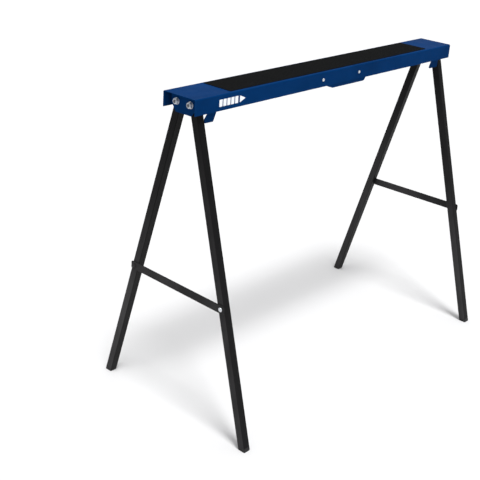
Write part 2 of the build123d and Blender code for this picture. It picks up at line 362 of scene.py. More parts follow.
@dataclass(frozen=True)
class GritPad:
    """Anti-slip mat: coarse mineral grit set in rubber."""

    name: str
    rubber: Colour
    grit: Colour
    grain_per_metre: float = 1150.0

    def material(self) -> bpy.types.Material:
        """Build the pad's material.

        Returns:
            The material.
        """
        g = Graph(self.name)
        grain = g.cells(self.grain_per_metre)
        fine = g.noise(self.grain_per_metre * 2.3, 3.0, 0.7)
        each = g.add("ShaderNodeSeparateColor")
        g.feed(g.cells(self.grain_per_metre, "Color"), each.inputs["Color"])
        crests = g.ranged(grain, 0.55, 0.15, 0.0, 1.0)
        picked = g.maths("MULTIPLY", crests, g.ranged(each.outputs["Red"], 0.35, 1.0, 0.0, 1.0))
        traffic = g.ranged(g.noise(13.0, 5.0, 0.65), 0.35, 0.7, 0.8, 1.25)
        tone = g.maths("MULTIPLY", picked, traffic)
        colour = g.mixed(tone, self.rubber, self.grit)
        rubbed = g.mixed(g.maths("MULTIPLY", g.edges(0.0012, 0.6), 0.5), colour, shade_of(self.grit, 1.4))
        rough = g.ranged(tone, 0.0, 1.0, 0.96, 0.78)
        g.bumps([(grain, -0.55, 0.0007), (fine, 0.45, 0.0003)])
        return g.finish(rubbed, rough, Specular_IOR_Level=0.03)


@dataclass(frozen=True)
class MouldedPlastic:
    """Moulded plastic with a fine spark-eroded grain, scuffed at its rims."""

    name: str
    colour: Colour
    roughness: float = 0.56

    def material(self) -> bpy.types.Material:
        """Build the plastic's material.

        Returns:
            The material.
        """
        g = Graph(self.name)
        cloud = g.ranged(g.noise(40.0, 4.0, 0.6), 0.3, 0.7, 0.0, 1.0)
        toned = g.mixed(cloud, shade_of(self.colour, 0.85), shade_of(self.colour, 1.2))
        scuffed = g.mixed(g.maths("MULTIPLY", g.edges(0.0009, 0.8), 0.6), toned, shade_of(self.colour, 4.0))
        rough = g.ranged(g.noise(75.0, 4.0, 0.7), 0.3, 0.7, self.roughness - 0.06, self.roughness + 0.1)
        g.bumps([(g.noise(2600.0, 2.0, 0.6), 0.30, 0.00012), (g.noise(240.0, 2.0, 0.5), 0.08, 0.0003)])
        return g.finish(scuffed, rough, Specular_IOR_Level=0.35)


@dataclass(frozen=True)
class ZincPlate:
    """Bright zinc plate: clear metal with faint clouding into duller patches, fine marks and brighter edges.
    """

    name: str
    colour: Colour
    dull: Colour
    roughness: float = 0.27

    def material(self) -> bpy.types.Material:
        """Build the plate's material.

        Returns:
            The material.
        """
        g = Graph(self.name)
        cloud = g.ranged(g.noise(330.0, 5.0, 0.6), 0.3, 0.72, 0.0, 1.0)
        toned = g.mixed(cloud, self.colour, self.dull)
        bright = g.mixed(g.maths("MULTIPLY", g.edges(0.0005, 0.5), 0.7), toned, shade_of(self.colour, 1.15))
        rough = g.ranged(g.noise(700.0, 4.0, 0.7), 0.3, 0.7, self.roughness - 0.06, self.roughness + 0.14)
        drawn = g.noise(900.0, 2.0, 0.5, g.stretched((0.15, 1.0, 1.0)))
        g.bumps([(drawn, 0.10, 0.0001), (g.noise(1700.0, 2.0, 0.6), 0.08, 0.00008)])
        return g.finish(bright, rough, Metallic=1.0)


@dataclass(frozen=True)
class PrintInk:
    """Screen-printed ink, a little uneven over the coat below."""

    name: str
    colour: Colour

    def material(self) -> bpy.types.Material:
        """Build the ink's material.

        Returns:
            The material.
        """
        g = Graph(self.name)
        thin = g.ranged(g.noise(480.0, 4.0, 0.7), 0.52, 0.78, 0.0, 0.22)
        colour = g.mixed(thin, self.colour, (0.30, 0.38, 0.52, 1.0))
        rough = g.ranged(g.noise(160.0, 3.0, 0.6), 0.3, 0.7, 0.42, 0.56)
        g.bumps([(g.noise(620.0, 1.0, 0.4), 0.14, 0.00025)])
        return g.finish(colour, rough, Specular_IOR_Level=0.4)


@dataclass(frozen=True)
class Coat:
    """A built finish and the record's slot that it stands for."""

    slot: Slot
    material: bpy.types.Material


@dataclass(frozen=True)
class Palette:
    """Every finish on the sawhorse, built once."""

    blue: Coat
    black: Coat
    grit: Coat
    plastic: Coat
    zinc: Coat
    nylon: Coat
    steel_end: Coat
    ink: Coat

    @classmethod
    def mixed_up(cls) -> "Palette":
        """Build all the materials.

        Returns:
            The palette.
        """
        blue = PowderCoat("blue_powder_coat", (0.0012, 0.0258, 0.104, 1.0), (0.005, 0.062, 0.200, 1.0))
        black = PowderCoat(
            "black_powder_coat", (0.0052, 0.0050, 0.0054, 1.0), (0.036, 0.036, 0.038, 1.0), 0.32, 0.05,
            # Lighter grey on the legs: partly dust, partly painted side light on faces turned along the beam.
            dust_and_side_light=(0.046, 0.045, 0.0465, 1.0),
        )
        grit = GritPad("grip_grit", (0.0036, 0.0038, 0.0040, 1.0), (0.015, 0.016, 0.017, 1.0))
        plastic = MouldedPlastic("foot_plug_plastic", (0.0080, 0.0078, 0.0083, 1.0))
        zinc = ZincPlate("zinc_plate", (0.74, 0.76, 0.79, 1.0), (0.50, 0.52, 0.55, 1.0))
        nylon = MouldedPlastic("nylon_ring", (0.42, 0.46, 0.52, 1.0), 0.42)
        steel_end = ZincPlate("sheared_bolt_end", (0.16, 0.165, 0.175, 1.0), (0.08, 0.082, 0.09, 1.0), 0.46)
        ink = PrintInk("white_ink", (0.82, 0.85, 0.90, 1.0))
        finishes = (
            (Slot.BLUE_COAT, blue), (Slot.BLACK_COAT, black), (Slot.GRIP_PAD, grit),
            (Slot.FOOT_PLASTIC, plastic), (Slot.ZINC, zinc), (Slot.ZINC, nylon),
            (Slot.ZINC, steel_end), (Slot.BLUE_COAT, ink),
        )
        return cls(*[Coat(slot, finish.material()) for slot, finish in finishes])


# ---------------------------------------------------------------- shapes


def arc(centre: Point2, radius: float, start: float, end: float, steps: int) -> Loop:
    """Points along an arc.

    Args:
        centre: the arc's centre.
        radius: its radius.
        start: first angle, in degrees.
        end: last angle, in degrees.
        steps: number of chords.

    Returns:
        The points, both ends included.
    """
    angles = [math.radians(start + (end - start) * k / steps) for k in range(steps + 1)]
    return [(centre[0] + radius * math.cos(a), centre[1] + radius * math.sin(a)) for a in angles]


def rounded_box(
    width: float, height: float, radius: float, steps: int = 6, centre: Point2 = (0.0, 0.0)
) -> Loop:
    """Rectangle with rounded corners, counter-clockwise.

    Args:
        width: size along the first axis.
        height: size along the second axis.
        radius: corner radius.
        steps: chords per corner.
        centre: the rectangle's centre.

    Returns:
        The outline.
    """
    across, up = width / 2 - radius, height / 2 - radius
    corners = [((across, up), 0), ((-across, up), 90), ((-across, -up), 180), ((across, -up), 270)]
    loop: Loop = []
    for (x, y), start in corners:
        loop += arc((centre[0] + x, centre[1] + y), radius, start, start + 90, steps)
    return loop


def circle(centre: Point2, radius: float, steps: int = 32) -> Loop:
    """Circle as an outline, counter-clockwise."""
    return arc(centre, radius, 0, 360 * (steps - 1) / steps, steps - 1)


def softened(points: Sequence[Point2], radius: float, steps: int = 3) -> Loop:
    """Round every corner of an outline.

    Args:
        points: the outline's corners.
        radius: corner radius, made smaller where the sides are short.
        steps: chords per corner.

    Returns:
        The rounded outline.
    """
    loop: Loop = []
    for k, corner in enumerate(points):
        here = Vector(corner)
        back, ahead = Vector(points[k - 1]) - here, Vector(points[(k + 1) % len(points)]) - here
        opening = back.angle(ahead)
        reach = min(radius / math.tan(opening / 2), 0.42 * back.length, 0.42 * ahead.length)
        start, end = here + back.normalized() * reach, here + ahead.normalized() * reach
        for step in range(steps + 1):
            t = step / steps
            point = start * (1 - t) ** 2 + here * (2 * t * (1 - t)) + end * t ** 2
            loop.append((point.x, point.y))
    return loop


def softened_path(points: Sequence[Point2], radius: float, steps: int = 3) -> Loop:
    """Round the inner corners of an open path, keeping its two ends."""
    rounded = softened(points, radius, steps)
    return [points[0]] + rounded[steps + 1:-(steps + 1)] + [points[-1]]


def inset(loop: Loop, distance: float) -> Loop:
    """Move an outline inwards, to the left of its direction.

    Args:
        loop: the outline; counter-clockwise shrinks, clockwise grows.
        distance: how far.

    Returns:
        The moved outline.
    """
    moved: Loop = []
    for k, point in enumerate(loop):
        before = (Vector(point) - Vector(loop[k - 1])).normalized()
        after = (Vector(loop[(k + 1) % len(loop)]) - Vector(point)).normalized()
        left_before, left_after = Vector((-before.y, before.x)), Vector((-after.y, after.x))
        mitre = (left_before + left_after).normalized()
        stretch = distance / max(0.35, mitre.dot(left_after))
        moved.append((point[0] + mitre.x * stretch, point[1] + mitre.y * stretch))
    return moved


def eased(edge: float) -> Loop:
    """An eased edge as points (inwards, down), from the face to the side."""
    return [(edge, 0.0), (edge * 0.3, edge * 0.3), (0.0, edge)]


def raised(loop: Loop, z: float) -> list[Point3]:
    """An outline lifted to a height."""
    return [(x, y, z) for x, y in loop]


def bend_cuts(low: float, high: float) -> list[float]:
    """Where a blank is cut across, so that it can bend between two distances."""
    return [low + (high - low) * k / BEND_PARTS for k in range(BEND_PARTS + 1)]


def ring_of(mesh: Mesh, points: Iterable[Sequence[float]]) -> list[bmesh.types.BMVert]:
    """Add a ring of vertices."""
    return [mesh.verts.new(point) for point in points]


def bridge(mesh: Mesh, first: list[bmesh.types.BMVert], second: list[bmesh.types.BMVert]) -> None:
    """Join two closed rings of the same length with quads.

    Args:
        mesh: the mesh that holds both rings.
        first: one ring.
        second: the other.
    """
    count = len(first)
    for k in range(count):
        following = (k + 1) % count
        mesh.faces.new((first[k], first[following], second[following], second[k]))


def loft(rings: Sequence[Sequence[Sequence[float]]], capped: bool = True) -> Mesh:
    """Skin closed rings one after another.

    Args:
        rings: rings of points, all of the same length.
        capped: whether the first and last rings are closed with a face.

    Returns:
        The mesh.
    """
    mesh = bmesh.new()
    made = [ring_of(mesh, ring) for ring in rings]
    for first, second in zip(made, made[1:]):
        bridge(mesh, first, second)
    if capped:
        mesh.faces.new(list(reversed(made[0])))
        mesh.faces.new(made[-1])
    else:
        bridge(mesh, made[-1], made[0])
    bmesh.ops.recalc_face_normals(mesh, faces=mesh.faces)
    return mesh


def lathe(profile: Sequence[Point2], steps: int = 40) -> Mesh:
    """Turn a profile about the X axis.

    Args:
        profile: points (x, radius) from one end to the other; a radius of 0 closes the end.
        steps: facets round the axis.

    Returns:
        The mesh.
    """
    mesh = bmesh.new()
    angles = [FULL_TURN * k / steps for k in range(steps)]
    rings: list[list[bmesh.types.BMVert]] = []
    for x, radius in profile:
        if radius <= 0:
            rings.append([mesh.verts.new((x, 0, 0))])
        else:
            rings.append(ring_of(mesh, [(x, radius * math.cos(a), radius * math.sin(a)) for a in angles]))
    closed = profile[0][1] > 0 and profile[-1][1] > 0
    pairs = list(zip(rings, rings[1:])) + ([(rings[-1], rings[0])] if closed else [])
    for first, second in pairs:
        if len(first) == 1 or len(second) == 1:
            tip, rim = (first[0], second) if len(first) == 1 else (second[0], first)
            for k in range(steps):
                mesh.faces.new((tip, rim[k], rim[(k + 1) % steps]))
        else:
            bridge(mesh, first, second)
    bmesh.ops.recalc_face_normals(mesh, faces=mesh.faces)
    return mesh


def turned(profile: Sequence[Point2], at: Sequence[float], turn: float = 0.0) -> Mesh:
    """A turned part set at a point.

    Args:
        profile: points (x, radius), as for lathe.
        at: where the drawing's origin goes.
        turn: how far the part is turned about Z first, in radians.

    Returns:
        The mesh.
    """
    mesh = lathe(profile)
    mesh.transform(Matrix.Translation(at) @ Matrix.Rotation(turn, 4, "Z"))
    return mesh


def blank(outline: Loop, holes: Sequence[Loop], thickness: float, edge: float) -> Mesh:
    """Flat sheet blank with its edges eased, lying at w from 0 to thickness.

    Args:
        outline: outer outline, counter-clockwise.
        holes: hole outlines, counter-clockwise.
        thickness: the sheet's thickness.
        edge: radius of the eased edges.

    Returns:
        The mesh, in coordinates (u, v, w).
    """
    mesh = bmesh.new()
    steps = eased(edge) + [(inwards, thickness - w) for inwards, w in reversed(eased(edge))]
    tops: list[bmesh.types.BMEdge] = []
    bottoms: list[bmesh.types.BMEdge] = []
    for loop in [outline] + [list(reversed(hole)) for hole in holes]:
        rings = []
        for inwards, w in steps:
            rings.append(ring_of(mesh, raised(inset(loop, inwards), w)))
        for first, second in zip(rings, rings[1:]):
            bridge(mesh, first, second)
        count = len(loop)
        for ring, rim in ((rings[0], tops), (rings[-1], bottoms)):
            rim += [mesh.edges.get((ring[k], ring[(k + 1) % count])) for k in range(count)]
    for rim in (tops, bottoms):
        bmesh.ops.triangle_fill(mesh, use_beauty=True, use_dissolve=False, edges=rim)
    bmesh.ops.recalc_face_normals(mesh, faces=mesh.faces)
    return mesh


def folded(mesh: Mesh, cuts: Iterable[float], fold: Callable[[Vector], Vector]) -> Mesh:
    """Bend a blank.

    Args:
        mesh: the blank in (u, v, w).
        cuts: values of u at which the sheet may bend.
        fold: where each point of the blank goes.

    Returns:
        The same mesh, bent.
    """
    for u in cuts:
        parts = mesh.verts[:] + mesh.edges[:] + mesh.faces[:]
        bmesh.ops.bisect_plane(mesh, geom=parts, plane_co=(u, 0, 0), plane_no=(1, 0, 0), dist=1e-7)
    for vertex in mesh.verts:
        vertex.co = fold(vertex.co)
    bmesh.ops.recalc_face_normals(mesh, faces=mesh.faces)
    return mesh


def joined(parts: Sequence[Mesh]) -> Mesh:
    """Put several meshes in one, and free the rest.

    Args:
        parts: the meshes.

    Returns:
        One mesh with all of them.
    """
    whole = bmesh.new()
    for part in parts:
        kept = bpy.data.meshes.new("joining")
        part.to_mesh(kept)
        whole.from_mesh(kept)
        bpy.data.meshes.remove(kept)
        part.free()
    return whole


@dataclass
class Piece:
    """One finished piece: its mesh, where it belongs and what it stands for."""

    name: str
    body: str
    coat: Coat
    replaces: tuple[str, ...] = ()

    def make(self, mesh: Mesh, place: Matrix | None = None) -> bpy.types.Object:
        """Turn a mesh into a shown piece that rides on its body.

        Args:
            mesh: the shape, freed afterwards.
            place: where the shape goes in the row's frame, or None if it is there already.

        Returns:
            The piece.
        """
        if place is not None:
            mesh.transform(place)
        data = bpy.data.meshes.new(self.name)
        mesh.to_mesh(data)
        mesh.free()
        data.shade_smooth()
        data.set_sharp_from_angle(angle=SMOOTH_ANGLE)
        data.materials.append(self.coat.material)
        piece = bpy.data.objects.new(self.name, data)
        bpy.context.scene.collection.objects.link(piece)
        even = piece.modifiers.new("even_faces", "WEIGHTED_NORMAL")
        even.keep_sharp = True
        if self.replaces:
            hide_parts(*self.replaces)
        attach(piece, self.body)
        LOG.info("%s: %d faces, rides on %s", self.name, len(data.polygons), self.body)
        return piece


# ---------------------------------------------------------------- places


@dataclass
class EndFrame:
    """Where one end's folding set sits. Its parts are drawn upright at the -X end."""

    side: Side
    pin: Vector = field(init=False)
    lean: float = field(init=False)
    bolt: Vector = field(init=False)
    leg_angle: float = field(init=False)
    brace: Vector = field(init=False)

    def __post_init__(self) -> None:
        """Read the end's places from the joints."""
        self.pin = self.undone(Vector(self.joint("fold")["pos_m"]), leaned=False)
        close = self.joint("close")
        self.lean = math.asin(abs(close["axis"][2]))
        self.leg_angle = math.radians(close["range_deg"][1])
        self.bolt = self.undone(Vector(close["pos_m"]))
        self.brace = self.undone(Vector(self.joint("brace")["pos_m"]))

    def joint(self, what: str) -> dict:
        """One of this end's joints, by the last part of its name."""
        return JOINTS[f"{self.side.value}_{what}"]

    @property
    def turn(self) -> Matrix:
        """Half a turn about Z for the right end."""
        return Matrix.Rotation(math.pi if self.side is Side.RIGHT else 0.0, 4, "Z")

    @property
    def place(self) -> Matrix:
        """From the upright drawing to the row's frame."""
        to_pin = Matrix.Translation(self.pin)
        return self.turn @ to_pin @ Matrix.Rotation(self.lean, 4, "Y") @ to_pin.inverted()

    def undone(self, point: Vector, leaned: bool = True) -> Vector:
        """A point of the row's frame in the upright drawing.

        Args:
            point: the point in the row's frame.
            leaned: whether the point leans with the set.

        Returns:
            The point as drawn.
        """
        return (self.place if leaned else self.turn).inverted() @ point

    def leg_place(self, leg: Leg) -> Matrix:
        """From a leg drawn down -Z from its bolt to the row's frame.

        Args:
            leg: which leg.

        Returns:
            The transform.
        """
        out = leg.value
        bolt = Vector((self.bolt.x, out * abs(self.bolt.y), self.bolt.z))
        return self.place @ Matrix.Translation(bolt) @ Matrix.Rotation(out * self.leg_angle, 4, "X")

    def leg_word(self, leg: Leg) -> str:
        """Whether a leg is the front or the back one."""
        in_front = (leg is Leg.RIVETED) == (self.side is Side.LEFT)
        return "front" if in_front else "back"

    def leg_body(self, leg: Leg) -> str:
        """The body that a leg belongs to."""
        return f"leg_set_{self.leg_word(leg)}_{self.side.value}"


@dataclass(frozen=True)
class DomedHead:
    """Domed rivet head, with its edge rolled down onto the face below."""

    radius: float
    height: float
    rim: float = 0.0004
    dimple: float = 0.0
    fullness: float = 0.8

    def profile(self) -> list[Point2]:
        """The head's outline from its base to its crown.

        Returns:
            Points (x, radius), the base at x = 0.
        """
        points, steps = [(0.0, self.radius), (self.rim, self.radius)], 9
        for k in range(1, steps):
            a = QUARTER * k / steps
            rise = (self.height - self.rim) * math.sin(a)
            points.append((self.rim + rise, self.radius * math.cos(a) ** self.fullness))
        if self.dimple > 0:
            floor = self.height - self.dimple * 0.5
            return points + [(self.height, self.dimple * 1.25), (floor, self.dimple * 0.8), (floor, 0.0)]
        return points + [(self.height, 0.0)]


# ---------------------------------------------------------------- the beam


@dataclass
class BeamSet:
    """The channel beam with its pad, keeper plate, fold pins and bushes."""

    palette: Palette
    sheet: float = 0.0015
    bend: float = 0.003
    bend_steps: int = 7
    edge: float = 0.0003
    spans: int = 12
    pad_corner: float = 0.003
    pad_edge: float = 0.0006
    keeper_lap: float = 0.001
    keeper_ear: float = 0.023
    keeper_slopes: Point2 = (0.033, 0.006)
    keeper_nick: Point2 = (0.003, 0.008)
    keeper_lip: float = 0.009
    keeper_taper: float = 0.002
    keeper_bend: float = 0.0022
    keeper_corner: float = 0.0015
    rivet_rim: float = 0.0005
    rivet_dimple: float = 0.0012
    tail_share: float = 0.92
    weld_bead: float = 0.0012
    bush_bore: float = 0.004
    bush_near: float = 0.0408
    bush_edge: float = 0.0005
    body: str = "beam_set"

    def piece(self, name: str, coat: Coat, *replaces: str) -> Piece:
        """A piece that rides with the beam."""
        return Piece(name, self.body, coat, replaces)

    def build(self) -> None:
        """Make every piece of the beam."""
        self.channel()
        self.pad()
        self.keeper()
        self.keeper_rivets()
        for side in Side:
            self.fold_pin(side)
            self.bushes(side)

    def channel_section(self, shrink: float) -> Loop:
        """Closed outline of the sheet's section, in Y and Z.

        Args:
            shrink: how far the outline is drawn into the sheet.

        Returns:
            The outline, counter-clockwise.
        """
        low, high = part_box("beam")
        edge, bend, small, steps = self.edge, self.bend, self.bend - self.sheet, self.bend_steps
        half, inner, under, rim = high.y, high.y - self.sheet, high.z - self.sheet, low.z + self.edge
        outline = [(half, rim)]
        outline += arc((half - bend, high.z - bend), bend, 0, 90, steps)
        outline += arc((bend - half, high.z - bend), bend, 90, 180, steps)
        outline += [(-half, rim)] + arc((-half + edge, rim), edge, 180, 270, 2)[1:]
        outline += arc((-inner - edge, rim), edge, 270, 360, 2)
        outline += arc((-inner + small, under - small), small, 180, 90, steps)
        outline += arc((inner - small, under - small), small, 90, 0, steps)
        outline += arc((inner + edge, rim), edge, 180, 270, 2)
        outline += arc((half - edge, rim), edge, 270, 360, 2)[:-1]
        return inset(outline, shrink)

    def channel(self) -> None:
        """The beam's channel, its end edges eased."""
        low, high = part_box("beam")
        stations = [(low.x + x, shrink) for shrink, x in eased(self.edge)]
        stations += [(low.x + (high.x - low.x) * k / self.spans, 0.0) for k in range(1, self.spans)]
        stations += [(high.x - x, shrink) for shrink, x in reversed(eased(self.edge))]
        rings = [[(x, y, z) for y, z in self.channel_section(shrink)] for x, shrink in stations]
        self.piece("beam_channel", self.palette.blue, "beam").make(loft(rings))

    def pad(self) -> None:
        """The grip pad, with a rounded rim and rounded corners."""
        low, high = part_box("top_pad")
        outline = rounded_box(high.x - low.x, high.y - low.y, self.pad_corner)
        rim = [(inwards, high.z - down) for inwards, down in reversed(eased(self.pad_edge))]
        rings = [raised(inset(outline, inwards), z) for inwards, z in [(0.0, low.z)] + rim]
        self.piece("grip_pad", self.palette.grit, "top_pad").make(loft(rings))

    def keeper(self) -> None:
        """The keeper plate, folded from one blank: the plate against the wall and the lip below."""
        low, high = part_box("keeper_plate")
        wall_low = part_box("beam")[0].z
        bend, depth = self.keeper_bend, wall_low - low.z
        flat = high.z - low.z - bend
        around = flat + bend * math.pi / 2
        end = around + self.keeper_lip - bend
        shoulder = high.z - wall_low - self.keeper_lap
        nick_in, nick_up = self.keeper_nick
        slope_left, slope_right = self.keeper_slopes
        left, right = low.x + self.keeper_ear, high.x - nick_in
        bottom_left, bottom_right = left + slope_left, right - slope_right
        outline = [
            (0.0, low.x), (shoulder, low.x), (shoulder, left),
            (flat, bottom_left - slope_left * bend / depth), (around, bottom_left),
            (end, bottom_left + self.keeper_taper), (end, bottom_right - self.keeper_taper),
            (around, bottom_right), (flat, bottom_right + slope_right * bend / depth),
            (high.z - low.z - nick_up, right), (shoulder, high.x), (0.0, high.x),
        ]

        def fold(point: Vector) -> Vector:
            """Take the sheet down the wall, round the bend, and inwards along the lip.

            Args:
                point: a point of the blank.

            Returns:
                The point on the bent plate.
            """
            u, x, w = point
            if u <= flat:
                return Vector((x, low.y + w, high.z - u))
            if u >= around:
                return Vector((x, low.y + bend + (u - around), low.z + w))
            a, reach = (u - flat) / bend, bend - w
            return Vector((x, low.y + bend - reach * math.cos(a), low.z + bend - reach * math.sin(a)))

        mesh = blank(softened(outline, self.keeper_corner), [], self.sheet, self.edge)
        mesh = folded(mesh, bend_cuts(flat, around), fold)
        self.piece("keeper", self.palette.blue, "keeper_plate").make(mesh)

    def keeper_rivets(self) -> None:
        """Domed rivets through the wall and the keeper plate."""
        low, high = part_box("keeper_rivets")
        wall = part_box("beam")[0].y
        inner = wall + 2 * self.sheet
        radius, level = (high.z - low.z) / 2, (low.z + high.z) / 2
        head = DomedHead(radius, wall - low.y, self.rivet_rim, self.rivet_dimple)
        tail = DomedHead(radius * self.tail_share, high.y - inner)
        parts = []
        for x in (low.x + radius, high.x - radius):
            parts.append(turned(head.profile(), (x, wall, level), -QUARTER))
            parts.append(turned(tail.profile(), (x, inner, level), QUARTER))
        self.piece("keeper_rivet_pair", self.palette.zinc, "keeper_rivets").make(joined(parts))

    def fold_pin(self, side: Side) -> None:
        """A plain fold pin, with a small weld bead at each wall.

        Args:
            side: which end of the beam.
        """
        node = f"pivot_pin_{side.value}"
        low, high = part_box(node)
        radius, half = (high.z - low.z) / 2, high.y
        bead = self.weld_bead
        weld = [(half - bead, radius), (half - bead * 0.5, radius + bead * 0.3), (half, radius + bead)]
        right = weld + [(half, 0.0)]
        profile = [(-x, r) for x, r in reversed(right)] + right
        pin = turned(profile, (low + high) / 2, QUARTER)
        self.piece(f"fold_pin_{side.value}", self.palette.blue, node).make(pin)

    def bushes(self, side: Side) -> None:
        """The two spacer bushes on a fold pin.

        Args:
            side: which end of the beam.
        """
        node = f"pivot_bushes_{side.value}"
        low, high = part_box(node)
        bore, outer, ease = self.bush_bore + self.bush_edge / 2, (high.z - low.z) / 2, self.bush_edge
        near, far = self.bush_near, high.y - self.weld_bead
        profile = [
            (near, bore), (near, outer - ease), (near + ease, outer),
            (far - ease, outer), (far, outer - ease), (far, bore),
        ]
        parts = [turned(profile, (low + high) / 2, turn) for turn in (QUARTER, -QUARTER)]
        self.piece(f"spacer_bushes_{side.value}", self.palette.zinc, node).make(joined(parts))


@dataclass
class SideMark:
    """A plain mark printed on the front wall: a row of upright blocks and an arrowhead."""

    palette: Palette
    start: float = 0.0735
    base: float = 0.0095
    height: float = 0.0160
    block_width: float = 0.0098
    block_gap: float = 0.0026
    block_corner: float = 0.0012
    blocks: int = 5
    arrow_gap: float = 0.0030
    arrow_length: float = 0.0185
    arrow_corner: float = 0.0010
    film: float = 0.00012

    def build(self) -> None:
        """Print the mark."""
        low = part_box("beam")[0]
        bottom, start, pitch = low.z + self.base, low.x + self.start, self.block_width + self.block_gap
        middle = bottom + self.height / 2
        outlines = []
        for k in range(self.blocks):
            centre = (start + self.block_width / 2 + k * pitch, middle)
            outlines.append(rounded_box(self.block_width, self.height, self.block_corner, 3, centre))
        tail = start + self.blocks * pitch + self.arrow_gap
        arrow = [(tail, bottom), (tail + self.arrow_length, middle), (tail, bottom + self.height)]
        outlines.append(softened(arrow, self.arrow_corner))
        films = [self.printed(outline, low.y) for outline in outlines]
        Piece("side_mark", "beam_set", self.palette.ink).make(joined(films))

    def printed(self, outline: Loop, wall: float) -> Mesh:
        """A thin film of ink on the front wall.

        Args:
            outline: its outline in X and Z.
            wall: the wall's Y.

        Returns:
            The mesh.
        """
        return loft([[(x, y, z) for x, z in outline] for y in (wall + self.film, wall - self.film)])


# ---------------------------------------------------------------- an end


SLANTED_TAB = (
    (0.455, 0.759), (0.451, 0.755), (0.460, 0.743), (0.4585, 0.734),
    (0.433, 0.734), (0.429, 0.743), (0.424, 0.754), (0.424, 0.762),
)
WIDE_TAB = (
    (0.466, 0.757), (0.4604, 0.751), (0.460, 0.735), (0.423, 0.735),
    (0.420, 0.739), (0.428, 0.754), (0.426, 0.762),
)


@dataclass
class LegBracket:
    """The folded sheet bracket of one end."""

    palette: Palette
    end: EndFrame
    sheet: float = 0.002
    half_width: float = 0.0405
    bend: float = 0.0035
    edge: float = 0.00035
    web_out: float = 0.4853
    beam_sheet: float = 0.0015
    gap: float = 0.0003
    eye: float = 0.014
    notch: Point2 = (0.470, 0.7605)
    tab_corner: float = 0.0012
    shoulder: float = 0.768
    shoulder_drop: float = 0.002
    web_bottom: float = 0.7495
    web_bottom_half: float = 0.024
    hole: float = 0.0041
    hole_steps: int = 24

    @property
    def body(self) -> str:
        """The body that the bracket belongs to."""
        return f"bracket_set_{self.end.side.value}"

    @property
    def top(self) -> float:
        """The bracket's top edge as drawn, just under the beam's underside once leaned."""
        reach = self.web_out + self.end.pin.x
        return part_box("beam")[1].z - self.beam_sheet - self.gap - reach * math.sin(self.end.lean)

    def along(self, x: float) -> float:
        """Distance along the blank from the web's middle to a flange point at |X| = x."""
        return self.half_width - self.bend + self.bend * QUARTER + (self.web_out - self.bend - x)

    def flange(self, tab: Sequence[Point2]) -> list[Point2]:
        """Outline of a flange on the blank, from the notch below the web's shoulder round to its top.

        Args:
            tab: the tab's corners, |X| and Z.

        Returns:
            Points (u, z), where u grows away from the web's middle.
        """
        pin = (-self.end.pin.x, self.end.pin.z)
        eye = arc(pin, self.eye, 270, 180, 8)[1:-1]
        eye = [(x, z) for x, z in eye if x < min(pin[0], tab[-1][0]) + 1e-6]
        crown = arc(pin, self.eye, 180, 95, 8)
        points = softened_path([self.notch, *tab], self.tab_corner) + eye + crown + [(pin[0], self.top)]
        return [(self.along(x), z) for x, z in points]

    def build(self) -> None:
        """Fold the bracket from one blank: the web with the bolts, and two flanges with their tabs."""
        web_half, bend, web_x = self.half_width - self.bend, self.bend, -self.web_out
        edge_u = web_half + bend * QUARTER
        right = self.flange(WIDE_TAB)
        left = [(-u, z) for u, z in self.flange(SLANTED_TAB)]
        corner = self.shoulder - self.shoulder_drop
        outline = [(-self.web_bottom_half, self.web_bottom), (self.web_bottom_half, self.web_bottom)]
        outline += [(web_half, corner), (edge_u, self.shoulder)] + right
        outline += list(reversed(left)) + [(-edge_u, self.shoulder), (-web_half, corner)]
        bolt, pin = (abs(self.end.bolt.y), self.end.bolt.z), (self.along(-self.end.pin.x), self.end.pin.z)
        spots = [(side * u, z) for u, z in (bolt, pin) for side in (-1, 1)]
        holes = [circle(spot, self.hole, self.hole_steps) for spot in spots]

        def fold(point: Vector) -> Vector:
            """Take the sheet across the web, round the corner and along a flange.

            Args:
                point: a point of the blank.

            Returns:
                The point on the bent bracket.
            """
            u, z, w = point
            side, reach = (1.0 if u > 0 else -1.0), abs(u)
            if reach <= web_half:
                return Vector((web_x + w, u, z))
            if reach >= edge_u:
                return Vector((web_x + bend + (reach - edge_u), side * (self.half_width - w), z))
            a, inner = (reach - web_half) / bend, bend - w
            return Vector((web_x + bend - inner * math.cos(a), side * (web_half + inner * math.sin(a)), z))

        cuts = [side * u for u in bend_cuts(web_half, edge_u) for side in (-1, 1)]
        mesh = folded(blank(outline, holes, self.sheet, self.edge), cuts, fold)
        side = self.end.side.value
        piece = Piece(f"bracket_pressing_{side}", self.body, self.palette.blue, (f"bracket_{side}",))
        piece.make(mesh, self.end.place)


# Turned sections of the small rings: points (x from the face that the ring sits on, radius).
WASHER = ((-0.00005, 0.0042), (-0.00005, 0.0080), (-0.0011, 0.0080), (-0.0014, 0.0077), (-0.0014, 0.0042))
SPACER = (
    (0.0, 0.0042), (0.0, 0.0096), (0.0004, 0.0100), (0.0016, 0.0100), (0.0020, 0.0096), (0.0020, 0.0042),
)
NUT_COLLAR = (
    (0.0004, 0.0061), (-0.0008, 0.0061), (-0.0015, 0.0059), (-0.0019, 0.0054),
    (-0.0019, 0.0050), (-0.0014, 0.0048), (0.0004, 0.0048),
)
NYLON_RING = (
    (0.0, 0.0049), (-0.0012, 0.0049), (-0.0015, 0.0046), (-0.0015, 0.0041), (-0.0012, 0.0039), (0.0, 0.0039),
)


